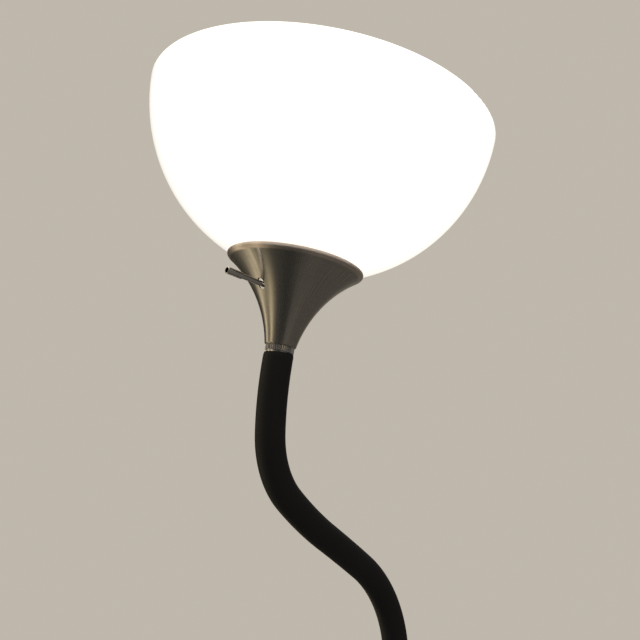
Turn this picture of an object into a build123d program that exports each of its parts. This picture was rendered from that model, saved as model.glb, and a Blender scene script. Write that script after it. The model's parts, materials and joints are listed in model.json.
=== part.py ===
from build123d import *
from math import asin, atan2, cos, degrees, hypot, radians, sin
import os

# Floor lamp: a weighted round base, a three-piece pole, a bendable neck and one bowl-shaped
# opal shade in a flared metal cup, with a turn switch in the lamp socket.
# Millimetres and degrees. The origin is on the floor under the pole, +Z is up, and the head
# leans towards +X. The neck is a chain of short arcs in the XZ plane, joined by ball ends.

# ---- running clearances
slip_fit = 0.1
loose_fit = 0.3

# ---- eased edges and short steps
fine_ease = 0.3
ease = 0.6
wide_ease = 1.0
short_step = 2.0

# ---- lead inside the lamp
lead_radius = 2.5
lead_turn_radius = 8.0
inlet_height = 9.0
lead_entry = 0.5

# ---- base
base_radius = 140.0
cover_wall = 1.2
cover_shoulder_radius = 11.0
cover_lift = 2.0
pad_margin = 4.0
pad_thickness = 3.0
weight_clearance = 2.1
weight_thickness = 16.0
weight_edge_chamfer = 1.5
hub_radius = 34.0
hub_plate = 5.8
nut_recess_radius = 26.0
base_stud_radius = 6.0
base_nut_width = 19.0
base_nut_height = 5.0
base_washer_radius = 15.0
base_washer_thickness = 1.5

# ---- cord inlet bushing
bushing_radius = 4.8
bushing_bore_radius = 3.1
bushing_flange_radius = 5.6
bushing_flange = 1.6
bushing_length = 8.5
bushing_lead_in = 0.8

# ---- pole
pole_radius = 12.7
pole_wall = 1.2
pole_section_length = 372.0
pole_foot_plug_length = 24.0
coupler_flange = 3.0
coupler_bead = 0.5
coupler_spigot_length = 20.0
coupler_bore_radius = 7.0
collar_radius = 24.0
collar_height = 13.0
collar_side_share = 0.25
collar_arc_share = 0.75
collar_arc_angle = 70.0
adapter_height = 13.3
adapter_band = 4.0
adapter_cone = 3.0

# ---- bendable neck, from its foot to its top
neck_radius = 10.5
neck_sleeve_wall = 2.2
neck_core_wall = 2.8
neck_arc_length = 54.0
neck_turns = (0.0, 0.0, -27.5, -25.0, -2.0, 9.5, 47.5, 13.0)
neck_ball_radius = 12.0
neck_ball_gap = 0.3

# ---- threaded fitting at each end of the neck
fitting_stud_radius = 5.0
fitting_flange_radius = 8.8
fitting_flange = 1.4
fitting_spigot_length = 8.0
foot_stud_length = 12.0
head_stud_length = 19.0

# ---- knurled ring under the cup
ring_radius = 10.2
ring_height = 4.2
ring_knurl_count = 44
ring_knurl_depth = 0.45
ring_chamfer = 0.5

# ---- cup, measured from its underside
cup_foot_radius = 11.2
cup_foot_corner = 1.4
cup_foot_bend = 0.2
cup_flare_radius = 88.0
cup_flare_end_radius = 47.8
cup_flare_end_height = 57.2
cup_lip_radius = 2.0
cup_lip_angle = 54.0
cup_roll_radius = 1.1
cup_roll_angle = 85.0
cup_wall = 1.0
switch_hole_radius = 3.3

# ---- washer and nut in the cup
washer_radius = 8.0
washer_thickness = 1.0
head_nut_width = 14.0
head_nut_height = 4.0

# ---- lamp socket, measured from the cup's underside
socket_cap_gap = 0.6
socket_hub_radius = 8.6
socket_hub_height = 7.0
socket_height = 69.6
socket_radius = 17.0
socket_skirt_height = 29.6
socket_wall = 2.0
socket_cap_step = 1.0
socket_cap_land = 1.5
socket_floor_height = 42.1
socket_floor = 3.5
fitter_radius = 21.0
fitter_shoulder = 3.0
fitter_shoulder_radius = 24.5
screw_shell_radius = 13.8
screw_shell_wall = 0.4
thread_pitch = 3.6
thread_depth = 0.5
thread_turns = 4
contact_radius = 4.0
contact_thickness = 0.8
contact_pin_radius = 1.5
contact_rivet = 1.0
terminal_offset = 10.5
terminal_head_radius = 2.8
terminal_head_height = 1.8
terminal_shank_radius = 1.5
terminal_slot = 0.8

# ---- turn switch, measured from the socket's axis; its angle is from the neck's plane to +Y
switch_height = 37.4
switch_angle = 6.0
switch_shaft_radius = 1.8
switch_rotor_radius = 3.3
switch_rotor_length = 9.0
switch_rotor_flats = 5.2
knob_radius = 2.4
knob_tip = 57.0
knob_length = 12.8
knob_socket_depth = 8.0
knob_bore_radius = 1.8
knob_bore_depth = 3.0

# ---- opal shade: the flat foot, then three tangent arcs out to the rim
shade_seat_height = 57.4
shade_wall = 2.5
shade_foot_width = 6.0
shade_neck_radius = 47.7
shade_neck_angle = 22.5
shade_lower_radius = 150.5
shade_lower_angle = 10.7
shade_upper_radius = 123.4
shade_upper_angle = 52.8

# ---- threaded ring that clamps the shade
clamp_ring_radius = 26.0
clamp_ring_height = 5.5
clamp_ring_notches = 16
clamp_notch = 2.0

# ---- light bulb
bulb_radius = 30.0
bulb_neck_length = 4.0
bulb_widening_angle = 38.0
bulb_wall = 0.9
bulb_cap_length = 21.0
bulb_seat_depth = 3.0
bulb_tip_radius = 9.0
bulb_tip_height = 3.0
bulb_cap_floor = 1.0
bulb_button_radius = 3.5
filament_height = 70.0
filament_half_width = 12.0
filament_radius = 0.6
stem_radius = 4.5
stem_height = 40.0
stem_tip_radius = 1.5
stem_shoulder_share = 0.7
support_depth = 3.0

# ---- levels and places that follow from the sizes above
pad_radius = base_radius - pad_margin
weight_radius = base_radius - bushing_length + bushing_flange - weight_clearance
stud_foot_height = inlet_height + lead_turn_radius - lead_entry
recess_height = stud_foot_height + base_nut_height + base_washer_thickness
hub_top = recess_height + hub_plate
base_height = hub_top + cover_wall
groove_height = inlet_height + lead_radius + loose_fit
lead_bore_radius = lead_radius + loose_fit + slip_fit
spigot_radius = pole_radius - pole_wall - slip_fit
pole_top = base_height + 3 * pole_section_length + 2 * coupler_flange
adapter_top = pole_top + adapter_height
neck_foot = adapter_top + fitting_flange
neck_sleeve_bore = neck_radius - neck_sleeve_wall
neck_core_radius = neck_sleeve_bore - slip_fit
neck_core_bore = neck_core_radius - neck_core_wall
nut_seat = cup_wall + washer_thickness
socket_cap_foot = nut_seat + head_nut_height + socket_cap_gap
shell_foot = socket_floor_height + socket_floor
bulb_tip_level = shell_foot + contact_thickness
bulb_cap_level = bulb_tip_level + bulb_tip_height
bulb_glass_level = bulb_cap_level + bulb_cap_length - bulb_seat_depth
bulb_cap_radius = screw_shell_radius - thread_depth - screw_shell_wall - slip_fit
bulb_cap_bore = bulb_cap_radius - thread_depth - screw_shell_wall
bulb_neck_radius = bulb_cap_bore - slip_fit


def round_bar(radius, bottom, top, bore=0.0):
    """Round bar or tube on the Z axis between two heights."""
    section = Circle(radius) - Circle(bore) if bore else Circle(radius)
    return Pos(0, 0, bottom) * extrude(section, top - bottom)


def hex_nut(width, bottom, top, bore):
    """Six-sided nut on the Z axis, with its outer corners chamfered."""
    flats = Pos(0, 0, bottom) * extrude(
        RegularPolygon(width / 2, 6, major_radius=False) - Circle(bore), top - bottom
    )
    corner = width / 2 + ease
    return flats & turned([(0, bottom), (corner, bottom), (corner + ease, bottom + ease),
                           (corner + ease, top - ease), (corner, top), (0, top)])


def turned(points):
    """Solid of revolution about Z from a closed outline of (radius, height) points."""
    outline = Polyline(*[(r, z) for r, z in points], close=True)
    return revolve(Plane.XZ * make_face(outline), Axis.Z, 360)


def step_end(point, heading, size, turn, inset):
    """End of one step of a profile: a line of this length, or an arc of this radius and turn."""
    if turn == 0:
        return point[0] + size * cos(radians(heading)), point[1] + size * sin(radians(heading))
    radius = size - inset if turn > 0 else size + inset
    chord = 2 * radius * sin(radians(abs(turn)) / 2)
    way = radians(heading + turn / 2)
    return point[0] + chord * cos(way), point[1] + chord * sin(way)


def profile(start, heading, steps, inset=0.0):
    """Lines and tangent arcs of a profile, or of its parallel on the left at distance inset."""
    point = (start[0] - inset * sin(radians(heading)), start[1] + inset * cos(radians(heading)))
    edges = []
    for size, turn in steps:
        end = step_end(point, heading, size, turn, inset)
        if turn:
            middle = step_end(point, heading, size, turn / 2, inset)
            edges.append(ThreePointArc(point, middle, end))
        else:
            edges.append(Line(point, end))
        point, heading = end, heading + turn
    return edges, point, heading


def shell_of(start, heading, steps, wall, round_end=False):
    """Thin turned shell: the profile is its outer face, and its wall lies to the left."""
    outer, outer_end, last = profile(start, heading, steps)
    inner, inner_end, _ = profile(start, heading, steps, wall)
    if round_end:
        nose = ((outer_end[0] + inner_end[0]) / 2 + wall / 2 * cos(radians(last)),
                (outer_end[1] + inner_end[1]) / 2 + wall / 2 * sin(radians(last)))
        edges = [ThreePointArc(outer_end, nose, inner_end)]
    else:
        edges = [Line(outer_end, inner_end)]
    edges += outer + inner + [Line(outer[0] @ 0, inner[0] @ 0)]
    return revolve(Plane.XZ * make_face(edges), Axis.Z, 360)


def threaded_shell(radius, bottom, turns, bore):
    """Rolled screw shell: rounded ridges outside, and a plain bore."""
    edges = []
    for ridge in range(turns):
        low = bottom + ridge * thread_pitch
        edges.append(ThreePointArc((radius - thread_depth, low), (radius, low + thread_pitch / 2),
                                   (radius - thread_depth, low + thread_pitch)))
    top = bottom + turns * thread_pitch
    edges.append(Polyline((radius - thread_depth, top), (bore, top), (bore, bottom),
                          (radius - thread_depth, bottom)))
    return revolve(Plane.XZ * make_face(edges), Axis.Z, 360)


# ---------------------------------------------------------------- base

def base_pad():
    """Floor pad under the weight, with its edges eased."""
    return turned([(0, 0), (pad_radius - ease, 0), (pad_radius, ease),
                   (pad_radius, pad_thickness), (0, pad_thickness)])


def base_weight():
    """Cast disc with a hub up to the cover, a nut recess below and a groove for the lead."""
    top = pad_thickness + weight_thickness
    bore = base_stud_radius + loose_fit
    edge = weight_radius - weight_edge_chamfer
    disc = turned([(bore, recess_height), (nut_recess_radius, recess_height),
                   (nut_recess_radius, pad_thickness), (edge, pad_thickness),
                   (weight_radius, pad_thickness + weight_edge_chamfer),
                   (weight_radius, top - weight_edge_chamfer), (edge, top),
                   (hub_radius, top), (hub_radius, hub_top), (bore, hub_top)])
    width = 2 * (lead_radius + loose_fit)
    groove = Box(weight_radius, width, groove_height - pad_thickness,
                 align=(Align.MIN, Align.CENTER, Align.MIN))
    return disc - Pos(nut_recess_radius - loose_fit, 0, pad_thickness) * groove


def base_cover():
    """Spun cover with a straight rim, a rounded shoulder, a stud hole and an inlet hole."""
    hole = base_stud_radius + loose_fit
    rise = base_height - cover_shoulder_radius - cover_lift
    across = base_radius - cover_shoulder_radius - hole
    steps = [(rise, 0), (cover_shoulder_radius, 90), (across, 0)]
    cover = shell_of((base_radius, cover_lift), 90, steps, cover_wall)
    inlet = Rot(0, 90, 0) * Cylinder(bushing_radius + slip_fit, 4 * bushing_length)
    return cover - Pos(base_radius, 0, inlet_height) * inlet


def cord_bushing():
    """Insulating bushing: an outer flange, a neck through the cover and an inner flange."""
    back = bushing_length - bushing_flange
    inner_face = cover_wall + loose_fit
    shape = turned([(bushing_bore_radius, -back), (bushing_radius, -back),
                    (bushing_flange_radius, -back + bushing_lead_in),
                    (bushing_flange_radius, -inner_face), (bushing_radius, -inner_face),
                    (bushing_radius, 0),
                    (bushing_flange_radius, 0), (bushing_flange_radius, bushing_flange - ease),
                    (bushing_flange_radius - ease, bushing_flange),
                    (bushing_bore_radius, bushing_flange)])
    return Location((base_radius, 0, inlet_height), (0, 90, 0)) * shape


def base_stud():
    """Hollow threaded stud that draws the weight, the cover and the pole together."""
    top = base_height + pole_foot_plug_length - short_step
    return round_bar(base_stud_radius, stud_foot_height, top, lead_bore_radius)


def base_nut():
    """Nut on the lower end of the stud."""
    bore = base_stud_radius + slip_fit
    return hex_nut(base_nut_width, stud_foot_height, stud_foot_height + base_nut_height, bore)


def base_washer():
    """Washer between the nut and the weight."""
    bottom = stud_foot_height + base_nut_height
    bore = base_stud_radius + slip_fit
    return round_bar(base_washer_radius, bottom, bottom + base_washer_thickness, bore)


# ---------------------------------------------------------------- pole

def pole_foot_plug():
    """Plug pressed into the foot of the pole, threaded for the stud."""
    top = base_height + pole_foot_plug_length
    return round_bar(spigot_radius, base_height, top, base_stud_radius + slip_fit)


def pole_base_collar():
    """Dress ring that covers the joint of pole and base."""
    bore = pole_radius + slip_fit
    width = collar_radius - bore
    steps = [(collar_height * collar_side_share, 0), (width * collar_arc_share, collar_arc_angle)]
    edges, end, _ = profile((collar_radius, base_height), 90, steps)
    top = base_height + collar_height
    close = Polyline(end, (end[0] - ease, top), (bore, top), (bore, base_height),
                     (collar_radius, base_height))
    return revolve(Plane.XZ * make_face(edges + [close]), Axis.Z, 360)


def pole_tube(index):
    """One of the three equal tubes of the pole, counted from the floor."""
    bottom = base_height + index * (pole_section_length + coupler_flange)
    return round_bar(pole_radius, bottom, bottom + pole_section_length, pole_radius - pole_wall)


def pole_coupler(index):
    """Joining piece over one tube: a thin bead outside and a spigot into each tube."""
    bottom = base_height + (index + 1) * pole_section_length + index * coupler_flange
    top = bottom + coupler_flange
    bead = pole_radius + coupler_bead
    soft = coupler_bead + fine_ease
    low, high = bottom - coupler_spigot_length, top + coupler_spigot_length
    return turned([(coupler_bore_radius, low), (spigot_radius - wide_ease, low),
                   (spigot_radius, low + wide_ease), (spigot_radius, bottom), (bead - soft, bottom),
                   (bead, bottom + soft), (bead, top - soft), (bead - soft, top),
                   (spigot_radius, top), (spigot_radius, high - wide_ease),
                   (spigot_radius - wide_ease, high),
                   (coupler_bore_radius, high)])


def neck_adapter():
    """Tapered top of the pole, threaded for the fitting at the foot of the neck."""
    low = pole_top - coupler_spigot_length
    floor = adapter_top - foot_stud_length - wide_ease
    bore = fitting_stud_radius + slip_fit
    return turned([(coupler_bore_radius, low), (spigot_radius - wide_ease, low),
                   (spigot_radius, low + wide_ease), (spigot_radius, pole_top),
                   (pole_radius, pole_top), (pole_radius, pole_top + adapter_band),
                   (neck_radius, adapter_top - ease), (neck_radius - ease, adapter_top),
                   (bore, adapter_top), (bore, floor),
                   (coupler_bore_radius, floor - adapter_cone)])


# ---------------------------------------------------------------- neck

def arc_end(turn):
    """Placement of the far end of one arc of the neck, seen from its near end."""
    if turn == 0:
        return Pos(0, 0, neck_arc_length)
    radius = neck_arc_length / radians(turn)
    across = radius * (1 - cos(radians(turn)))
    along = radius * sin(radians(turn))
    return Location((across, 0, along), (0, turn, 0))


def neck_places():
    """Placement of the foot, of each ball joint and of the top of the neck."""
    places = [Pos(0, 0, neck_foot)]
    for turn in neck_turns:
        places.append(places[-1] * arc_end(turn))
    return places


places = neck_places()
head = places[-1] * Pos(0, 0, fitting_flange + ring_height)


def bent_tube(radius, bore, turn):
    """Round bar or tube along one arc of the neck, from the local origin."""
    section = Circle(radius) - Circle(bore) if bore else Circle(radius)
    if turn == 0:
        return extrude(section, neck_arc_length)
    pivot = neck_arc_length / radians(turn)
    axis = Axis((pivot, 0, 0), (0, 1 if turn > 0 else -1, 0))
    return revolve(section, axis, abs(turn))


def neck_link(radius, bore, index):
    """One link: an arc with a ball-shaped upper end, hollowed below for the ball under it."""
    turn = neck_turns[index]
    link = bent_tube(radius, bore, turn)
    if index < len(neck_turns) - 1:
        dome = round_bar(radius, 0, neck_ball_radius, bore) & Sphere(neck_ball_radius)
        link += arc_end(turn) * dome
    if index > 0:
        link -= Sphere(neck_ball_radius + neck_ball_gap)
    return places[index] * link


def neck_fitting(stud_length):
    """Spigot in the core, flange and hollow threaded stud; local +Z points out of the neck."""
    spigot = neck_core_bore - loose_fit
    end = fitting_flange + stud_length
    return turned([(lead_bore_radius, -fitting_spigot_length), (spigot, -fitting_spigot_length),
                   (spigot, 0), (fitting_flange_radius, 0), (fitting_flange_radius, fitting_flange),
                   (fitting_stud_radius, fitting_flange), (fitting_stud_radius, end - ease),
                   (fitting_stud_radius - ease, end), (lead_bore_radius, end)])


def stand_lead():
    """Lead from the inlet along the groove, up through the stud and pole to the first ball."""
    start = base_radius - bushing_length + bushing_flange - loose_fit
    run = Pos(start, 0, inlet_height) * Rot(0, -90, 0) * extrude(
        Circle(lead_radius), start - lead_turn_radius
    )
    elbow = revolve(
        Plane.YZ * Circle(lead_radius), Axis((0, 0, lead_turn_radius), (0, 1, 0)), 90
    )
    riser = round_bar(lead_radius, inlet_height + lead_turn_radius, neck_foot)
    return run + Pos(lead_turn_radius, 0, inlet_height) * elbow + riser + neck_link(lead_radius, 0, 0)


def head_lead():
    """Lead from the last ball through the upper fitting into the socket's cap."""
    top = fitting_flange + ring_height + socket_skirt_height - short_step
    return neck_link(lead_radius, 0, len(neck_turns) - 1) + places[-1] * round_bar(lead_radius, 0, top)


# ---------------------------------------------------------------- cup and its fastening
# The pieces of the head are drawn upright on the Z axis, with the cup's underside at zero.

def along_switch(shape):
    """Lay a shape drawn upright on the Z axis along the switch's axis, its top outwards."""
    return Pos(0, 0, switch_height) * Rot(0, 0, -switch_angle) * Rot(0, -90, 0) * shape


def knurled_ring():
    """Round nut under the cup with a straight knurl."""
    tooth = Rectangle(2 * ring_knurl_depth, 2 * ring_knurl_depth, rotation=45)
    section = Circle(ring_radius) - Circle(fitting_stud_radius + slip_fit)
    section -= [place * tooth for place in PolarLocations(ring_radius, ring_knurl_count)]
    body = Pos(0, 0, -ring_height) * extrude(section, ring_height)
    inner = ring_radius - ring_chamfer
    return body & turned([(0, -ring_height), (inner, -ring_height),
                          (ring_radius + fine_ease, -ring_height + ring_chamfer + fine_ease),
                          (ring_radius + fine_ease, -ring_chamfer - fine_ease), (inner, 0),
                          (0, 0)])


def cup():
    """Spun cup: a flat floor, a rounded foot, a long flare and a lip rolled inwards."""
    hole = fitting_stud_radius + loose_fit
    flat = cup_foot_radius - cup_foot_corner - hole
    across = cup_flare_end_radius - cup_foot_radius
    rise = cup_flare_end_height - cup_foot_corner
    slope = degrees(atan2(rise, across))
    half_turn = degrees(asin(hypot(across, rise) / 2 / cup_flare_radius))
    steps = [(flat, 0), (cup_foot_corner, 90), (cup_foot_bend, slope + half_turn - 90),
             (cup_flare_radius, -2 * half_turn), (cup_lip_radius, cup_lip_angle),
             (cup_roll_radius, cup_roll_angle)]
    wall = shell_of((hole, 0), 0, steps, cup_wall, round_end=True)
    return wall - along_switch(round_bar(switch_hole_radius, 0, cup_flare_end_radius))


def lock_washer():
    """Washer on the floor of the cup."""
    bore = fitting_stud_radius + slip_fit
    return round_bar(washer_radius, cup_wall, nut_seat, bore)


def head_nut():
    """Nut that clamps the cup on the knurled ring."""
    bore = fitting_stud_radius + slip_fit
    return hex_nut(head_nut_width, nut_seat, nut_seat + head_nut_height, bore)


# ---------------------------------------------------------------- lamp socket and switch

def socket_cap():
    """Cone-shaped cap of the socket, screwed on the neck's upper stud."""
    bore = fitting_stud_radius + slip_fit
    hub_top_level = socket_cap_foot + socket_hub_height
    outer = socket_radius - socket_cap_step
    rim = socket_skirt_height - short_step
    return turned([(bore, socket_cap_foot), (socket_hub_radius, socket_cap_foot),
                   (outer, rim),
                   (outer, socket_skirt_height), (outer - socket_wall, socket_skirt_height),
                   (outer - socket_wall, rim), (bore + socket_cap_land, hub_top_level),
                   (bore, hub_top_level)])


def socket_body():
    """Moulded body: switch chamber below, lamp bore above, shoulder and thread for the shade."""
    bore = screw_shell_radius + slip_fit
    chamber = socket_radius - socket_wall
    shoulder = shade_seat_height - fitter_shoulder
    neck = fitter_radius - loose_fit
    body = turned([(chamber, socket_skirt_height), (socket_radius, socket_skirt_height),
                   (socket_radius, shoulder - short_step), (fitter_shoulder_radius, shoulder),
                   (fitter_shoulder_radius, shade_seat_height), (neck, shade_seat_height),
                   (neck, socket_height - ease), (neck - ease, socket_height),
                   (bore, socket_height), (bore, shell_foot),
                   (contact_pin_radius + slip_fit, shell_foot),
                   (contact_pin_radius + slip_fit, socket_floor_height),
                   (chamber, socket_floor_height)])
    shaft_way = along_switch(round_bar(switch_shaft_radius + loose_fit, 0, 2 * socket_radius))
    shank = round_bar(terminal_shank_radius + slip_fit, socket_floor_height, shell_foot)
    shanks = [Pos(0, side * terminal_offset, 0) * shank for side in (-1, 1)]
    return body - shaft_way - shanks


def screw_shell():
    """Rolled screw shell that takes the bulb's cap."""
    bore = screw_shell_radius - thread_depth - screw_shell_wall
    return threaded_shell(screw_shell_radius, shell_foot, thread_turns + 1, bore)


def centre_contact():
    """Contact disc in the floor of the lamp bore, with its rivet through the floor."""
    disc = round_bar(contact_radius, shell_foot, bulb_tip_level)
    return disc + round_bar(contact_pin_radius, socket_floor_height - contact_rivet, shell_foot)


def terminal_screws():
    """Two screws up into the socket's floor from the switch chamber."""
    head_bottom = socket_floor_height - terminal_head_height
    screw = round_bar(terminal_head_radius, head_bottom, socket_floor_height)
    screw += round_bar(terminal_shank_radius, socket_floor_height, shell_foot - loose_fit)
    slot = Pos(0, 0, head_bottom) * Box(2 * terminal_head_radius, terminal_slot, 2 * terminal_slot)
    return [Pos(0, side * terminal_offset, 0) * (screw - slot) for side in (-1, 1)]


def switch_shaft():
    """Thin turning shaft from the rotor out into the knob."""
    foot = -switch_rotor_length / 2 - short_step
    end = knob_tip - knob_length + knob_socket_depth
    return along_switch(round_bar(switch_shaft_radius, foot, end))


def switch_rotor():
    """Cam on the shaft in the switch chamber, with two flats."""
    half = switch_rotor_length / 2
    drum = round_bar(switch_rotor_radius, -half, half, switch_shaft_radius)
    flats = Box(switch_rotor_flats, 3 * switch_rotor_radius, 3 * half)
    return along_switch(drum & flats)


def switch_knob():
    """Slim turned knob with a hollow end."""
    inner_end = knob_tip - knob_length
    bore = switch_shaft_radius
    depth = inner_end + knob_socket_depth
    return along_switch(turned([(bore, inner_end), (knob_radius - fine_ease, inner_end),
                                (knob_radius, inner_end + fine_ease),
                                (knob_radius, knob_tip - fine_ease),
                                (knob_radius - fine_ease, knob_tip),
                                (knob_bore_radius, knob_tip),
                                (knob_bore_radius, knob_tip - knob_bore_depth),
                                (0, knob_tip - knob_bore_depth), (0, depth), (bore, depth)]))


# ---------------------------------------------------------------- shade, clamp ring and bulb

def shade():
    """Opal bowl: a flat foot round the fitter hole, then one sweep out to a rounded rim."""
    steps = [(shade_foot_width, 0), (shade_neck_radius, shade_neck_angle),
             (shade_lower_radius, shade_lower_angle), (shade_upper_radius, shade_upper_angle)]
    return shell_of((fitter_radius, shade_seat_height), 0, steps, shade_wall, round_end=True)


def shade_ring():
    """Threaded ring that clamps the shade's foot on the socket's shoulder."""
    bottom = shade_seat_height + shade_wall
    section = Circle(clamp_ring_radius) - Circle(fitter_radius - loose_fit + slip_fit)
    notch = Rectangle(clamp_notch, clamp_notch)
    section -= [place * notch for place in PolarLocations(clamp_ring_radius, clamp_ring_notches)]
    return Pos(0, 0, bottom) * extrude(section, clamp_ring_height)


def bulb_glass():
    """Pear-shaped glass envelope, open below where its cap holds it."""
    lower = radians(90 - bulb_widening_angle)
    widening = (bulb_radius * sin(lower) - bulb_neck_radius) / (1 - cos(radians(bulb_widening_angle)))
    steps = [(bulb_neck_length, 0), (widening, -bulb_widening_angle),
             (bulb_radius, 90 + bulb_widening_angle)]
    return shell_of((bulb_neck_radius, bulb_glass_level), 90, steps, bulb_wall)


def bulb_cap():
    """Rolled screw cap of the bulb, turned into the screw shell."""
    root = bulb_cap_radius - thread_depth
    body = threaded_shell(bulb_cap_radius, bulb_cap_level, thread_turns, bulb_cap_bore)
    top = bulb_cap_level + bulb_cap_length
    collar = round_bar(root, bulb_cap_level + thread_turns * thread_pitch, top, bulb_cap_bore)
    floor = round_bar(root, bulb_cap_level, bulb_cap_level + bulb_cap_floor, bulb_tip_radius)
    return body + collar + floor


def bulb_contact():
    """Insulator and contact button at the foot of the bulb."""
    rim = bulb_tip_radius - slip_fit
    top = bulb_cap_level + bulb_cap_floor
    return turned([(0, bulb_tip_level), (bulb_button_radius, bulb_tip_level),
                   (bulb_button_radius + ease, bulb_tip_level + ease), (rim, bulb_cap_level),
                   (rim, top), (0, top)])


def bulb_filament():
    """Glass stem with two support wires and the filament between them."""
    foot = bulb_cap_level + bulb_cap_floor
    top = foot + stem_height
    stem = turned([(0, foot), (stem_radius, foot),
                   (stem_radius, foot + stem_height * stem_shoulder_share),
                   (stem_tip_radius, top), (0, top)])
    level = foot + filament_height
    low = top - support_depth
    for side in (-1, 1):
        tilt = degrees(atan2(side * filament_half_width, level - low))
        reach = hypot(filament_half_width, level - low)
        stem += Location((0, 0, low), (0, tilt, 0)) * round_bar(filament_radius, 0, reach)
    bar = Rot(0, 90, 0) * Cylinder(filament_radius, 2 * filament_half_width)
    return stem + Pos(0, 0, level) * bar


def all_pieces():
    """Every sub-part by name, in its place on the lamp."""
    pieces = {
        "base_pad": base_pad(),
        "base_weight": base_weight(),
        "base_cover": base_cover(),
        "cord_bushing": cord_bushing(),
        "base_stud": base_stud(),
        "base_nut": base_nut(),
        "base_washer": base_washer(),
        "pole_foot_plug": pole_foot_plug(),
        "pole_base_collar": pole_base_collar(),
        "pole_lower": pole_tube(0),
        "coupler_lower": pole_coupler(0),
        "pole_middle": pole_tube(1),
        "coupler_upper": pole_coupler(1),
        "pole_upper": pole_tube(2),
        "neck_adapter": neck_adapter(),
        "neck_fitting_lower": places[0] * Rot(180, 0, 0) * neck_fitting(foot_stud_length),
        "neck_fitting_upper": places[-1] * neck_fitting(head_stud_length),
    }
    last = len(neck_turns) - 1
    for index in range(last + 1):
        number = index + 1
        pieces[f"neck_sleeve_{number}"] = neck_link(neck_radius, neck_sleeve_bore, index)
        pieces[f"neck_core_{number}"] = neck_link(neck_core_radius, neck_core_bore, index)
        if 0 < index < last:
            pieces[f"lamp_lead_{number}"] = neck_link(lead_radius, 0, index)
    pieces["lamp_lead_1"] = stand_lead()
    pieces[f"lamp_lead_{last + 1}"] = head_lead()
    head_pieces = (knurled_ring, cup, lock_washer, head_nut, socket_cap, socket_body, screw_shell,
                   centre_contact, terminal_screws, switch_shaft, switch_rotor, switch_knob,
                   shade, shade_ring, bulb_glass, bulb_cap, bulb_contact, bulb_filament)
    for make in head_pieces:
        made = make()
        solids = made if isinstance(made, list) else [made]
        pieces[make.__name__] = [head * solid for solid in solids]
    return pieces


def write_parts():
    """Write one file per sub-part, and print the joint places."""
    os.makedirs("parts", exist_ok=True)
    for name, piece in all_pieces().items():
        shape = Compound(children=piece) if isinstance(piece, list) and len(piece) > 1 else piece
        shape = shape[0] if isinstance(shape, list) else shape
        shape.label = name
        export_step(shape, f"parts/{name}.step")
    for number, place in enumerate(places):
        print("neck place", number, tuple(place.position), "lean", place.orientation.Y)
    print("head", tuple(head.position))


write_parts()
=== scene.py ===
"""Looks of a bowl floor lamp: finishes, the rubber sleeve of its neck, and a plain studio."""

import json
from math import cos, pi, radians, sin, sqrt

import bmesh
import bpy
from mathutils import Matrix, Vector


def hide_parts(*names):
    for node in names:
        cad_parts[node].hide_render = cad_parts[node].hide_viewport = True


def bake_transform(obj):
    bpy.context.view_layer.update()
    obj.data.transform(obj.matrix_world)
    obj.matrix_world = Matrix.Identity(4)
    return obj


bl_info = {
    "name": "Bowl Floor Lamp",
    "version": (1, 0, 0),
    "blender": (4, 5, 0),
    "location": "View3D > Sidebar > Floor Lamp",
    "description": "Dresses a floor lamp with a bowl shade and a bendable neck",
    "category": "Object",
}

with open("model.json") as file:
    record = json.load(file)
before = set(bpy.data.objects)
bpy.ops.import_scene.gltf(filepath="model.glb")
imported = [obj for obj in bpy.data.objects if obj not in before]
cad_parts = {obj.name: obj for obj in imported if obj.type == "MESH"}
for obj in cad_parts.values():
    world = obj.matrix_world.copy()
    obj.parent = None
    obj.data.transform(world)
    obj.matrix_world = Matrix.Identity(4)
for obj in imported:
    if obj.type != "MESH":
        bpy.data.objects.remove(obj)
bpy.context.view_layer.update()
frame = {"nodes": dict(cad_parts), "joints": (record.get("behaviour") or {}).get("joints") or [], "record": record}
NODES = frame["nodes"]
BODIES = frame["record"]["behaviour"]["bodies"]
SLOT_OF = {part["node"]: part["material_slot"] for part in frame["record"]["subparts"]}
PLACE_OF = {joint["name"]: Vector(joint["pos_m"]) for joint in frame["joints"]}
SWITCH_WAY = next(Vector(joint["axis"]) for joint in frame["joints"]
                  if joint["name"] == "switch_turn")
UP = Vector((0.0, 0.0, 1.0))

# Turn of each arc of the neck in degrees, from its foot to its top, the length of one arc and of
# all, and the body that each arc belongs to.
NECK_TURNS = (0.0, 0.0, -27.5, -25.0, -2.0, 9.5, 47.5, 13.0)
NECK_ARC = 0.054
NECK_LENGTH = NECK_ARC * len(NECK_TURNS)
LINKS = ("stand", *(f"neck_link_{number}" for number in range(2, 8)), "head")

# The head's own frame: its axis leans in the neck's plane, and its origin is the middle of the
# cup's underside, this far above the neck's end. Heights on the head are measured from there.
HEAD_LEAN = radians(sum(NECK_TURNS))
RING_RISE = 0.0056

# Heights of the bowl's foot and rim, and of a point that all of its inner face looks at.
BOWL_HEIGHTS = (0.055, 0.17)
BOWL_MIDDLE = 0.12

# Heights of the foot and top of the cup's satin lip, the height over which its finish and painted reflection set
# in, and how far its face draws in by its top.
LIP_FOOT = 0.0556
LIP_TOP = 0.0590
LIP_BLEND = 0.0008
LIP_DRAW = 0.0019

# The knob's hollow end, where shade is painted: the radius that is inside it, and how far its floor is from the
# joint.
KNOB_BORE = 0.00185
KNOB_BORE_FLOOR = 0.0539

# Values between which nearly all of a noise lies.
NOISE_RANGE = (0.3, 0.7)

# Tones that lie over a finish: streaks in brushed metal, a painted reflection of the glowing bowl on the lip,
# painted shade in the knob's hollow, and dust.
STREAK_TONE = (0.3, 0.27, 0.25)
LIP_PAINTED_REFLECTION = (0.86, 0.76, 0.68)
HOLLOW_PAINTED_SHADE = (0.03, 0.025, 0.022)
METAL_DUST = (0.42, 0.4, 0.37)
MOULDED_DUST = (0.3, 0.29, 0.27)

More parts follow.
